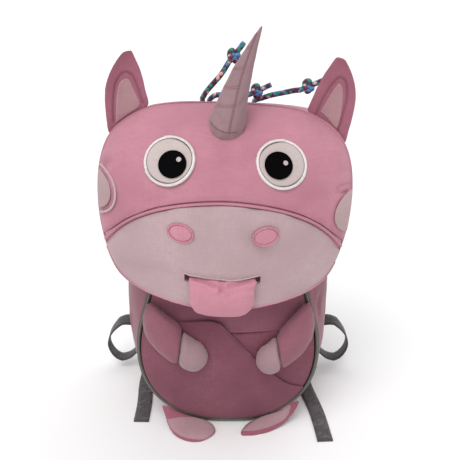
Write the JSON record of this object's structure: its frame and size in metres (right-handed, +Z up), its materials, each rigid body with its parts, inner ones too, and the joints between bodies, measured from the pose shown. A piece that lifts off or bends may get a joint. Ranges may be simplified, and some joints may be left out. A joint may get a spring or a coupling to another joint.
{
  "type": "kids animal backpack",
  "caption": "Small child's backpack with a padded animal-face flap, horn and ears, stuffed arms and feet, and webbing shoulder straps.",
  "frame": {"origin": "middle of the flat stretch of bottom cloth that the bag stands on, at the level of the ground", "axes": "+Z up, -Y out of the face, +X to the right of someone who faces it"},
  "size_m": [0.2628, 0.1899, 0.3787],
  "materials": {
    "pink_cloth": "matt woven polyester",
    "deep_pink_cloth": "matt woven polyester, plum pink",
    "pale_cloth": "matt greyish pink woven polyester",
    "rose_cloth": "matt rose woven polyester",
    "white_embroidery": "satin stitched thread",
    "black_embroidery": "black cloth with a faint sheen",
    "reflective_piping": "grey piping with a dull sheen",
    "ribbed_webbing": "ribbed woven webbing",
    "moulded_plastic": "fine grained moulding",
    "braided_cord": "braided, plum with green, blue and pale flecks"
  },
  "bodies": {
    "root": {"face_upper": "pink_cloth", "muzzle": "pale_cloth", "muzzle_piping": "pink_cloth", "head_crown": "pink_cloth", "tongue": "rose_cloth", "horn": "pale_cloth", "eye_white_left": "white_embroidery", "eye_rim_left": "white_embroidery", "pupil_left": "black_embroidery", "glint_left": "white_embroidery", "eye_white_right": "white_embroidery", "eye_rim_right": "white_embroidery", "pupil_right": "black_embroidery", "glint_right": "white_embroidery", "nostril_left": "rose_cloth", "nostril_rim_left": "pale_cloth", "nostril_right": "rose_cloth", "nostril_rim_right": "pale_cloth", "cheek_spot_left": "pale_cloth", "cheek_ring_left": "pale_cloth", "cheek_spot_right": "pale_cloth", "ear_left": "pink_cloth", "ear_inner_left": "pale_cloth", "ear_right": "pink_cloth", "ear_inner_right": "pale_cloth", "belly_panel": "deep_pink_cloth", "back_panel": "deep_pink_cloth", "side_gusset": "pink_cloth", "gathered_collar": "deep_pink_cloth", "belly_piping": "reflective_piping", "pocket_over": "deep_pink_cloth", "pocket_under": "pink_cloth", "arm_left": "pink_cloth", "hand_left": "pale_cloth", "arm_right": "pink_cloth", "hand_right": "pale_cloth", "foot_left": "pink_cloth", "toe_left": "pale_cloth", "foot_right": "pink_cloth", "toe_right": "pale_cloth", "shoulder_strap_left": "pink_cloth", "lower_webbing_left": "ribbed_webbing", "adjuster_left": "moulded_plastic", "webbing_tail_left": "ribbed_webbing", "shoulder_strap_right": "pink_cloth", "lower_webbing_right": "ribbed_webbing", "adjuster_right": "moulded_plastic", "webbing_tail_right": "ribbed_webbing", "cord_left": "braided_cord", "knot_left": "braided_cord", "cord_middle": "braided_cord", "knot_middle": "braided_cord", "cord_right": "braided_cord", "knot_right": "braided_cord"}
  },
  "joints": []
}
